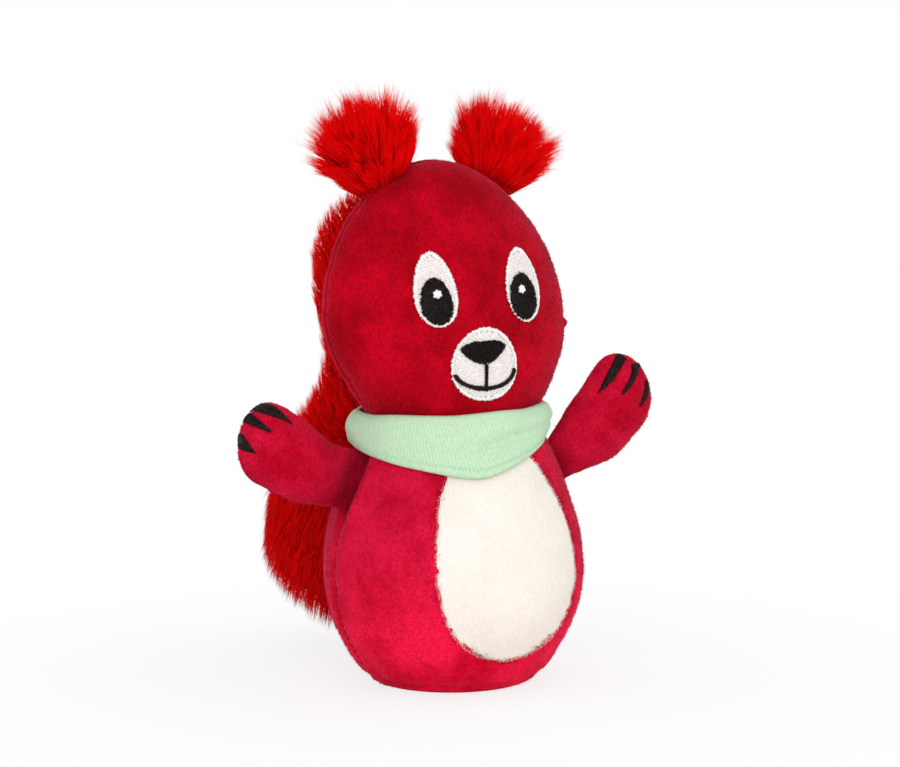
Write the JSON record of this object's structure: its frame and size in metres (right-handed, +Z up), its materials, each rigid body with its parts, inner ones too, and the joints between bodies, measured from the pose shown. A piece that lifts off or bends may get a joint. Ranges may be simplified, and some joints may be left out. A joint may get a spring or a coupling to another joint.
{
  "type": "plush squirrel",
  "caption": "Standing plush squirrel with a pear-shaped body on a flat base, raised stub arms, tufted fur ears, a curled bushy tail, an embroidered face and a jersey neck scarf.",
  "frame": {"origin": "centre of the flat base panel, on the surface the squirrel stands on", "axes": "+Z up through the head, -Y the way the face looks, +X towards the squirrel's own left"},
  "size_m": [0.1535, 0.1498, 0.195],
  "materials": {
    "crimson_velour": "short-pile polyester velour with brushed nap, deep crimson",
    "cream_velour": "short-pile polyester velour, warm cream",
    "scarlet_fur": "long-pile acrylic fur, bright scarlet",
    "mint_jersey": "fine knitted cotton jersey, pale mint",
    "white_thread": "satin and fill stitched embroidery thread, off white",
    "black_thread": "satin stitched embroidery thread, black",
    "fibre_filling": "loose polyester fibre filling"
  },
  "bodies": {
    "root": {"arm_left_back_panel": "crimson_velour", "arm_left_front_panel": "crimson_velour", "arm_left_stuffing": "fibre_filling", "arm_right_back_panel": "crimson_velour", "arm_right_front_panel": "crimson_velour", "arm_right_stuffing": "fibre_filling", "base_panel": "crimson_velour", "body_back_panel": "crimson_velour", "body_front_left_panel": "crimson_velour", "body_front_right_panel": "crimson_velour", "body_stuffing": "fibre_filling", "claw_left_lower": "black_thread", "claw_left_middle": "black_thread", "claw_left_upper": "black_thread", "claw_right_lower": "black_thread", "claw_right_middle": "black_thread", "claw_right_upper": "black_thread", "ear_left": "scarlet_fur", "ear_right": "scarlet_fur", "eye_glint_left": "white_thread", "eye_glint_right": "white_thread", "eye_white_left": "white_thread", "eye_white_right": "white_thread", "head_back_panel": "crimson_velour", "head_front_panel": "crimson_velour", "head_stuffing": "fibre_filling", "lip_line": "black_thread", "mouth_line": "black_thread", "muzzle_patch": "white_thread", "nose": "black_thread", "pupil_left": "black_thread", "pupil_right": "black_thread", "scarf": "mint_jersey", "tail_left_panel": "scarlet_fur", "tail_right_panel": "scarlet_fur", "tail_stuffing": "fibre_filling", "tummy_panel": "cream_velour"}
  },
  "joints": []
}
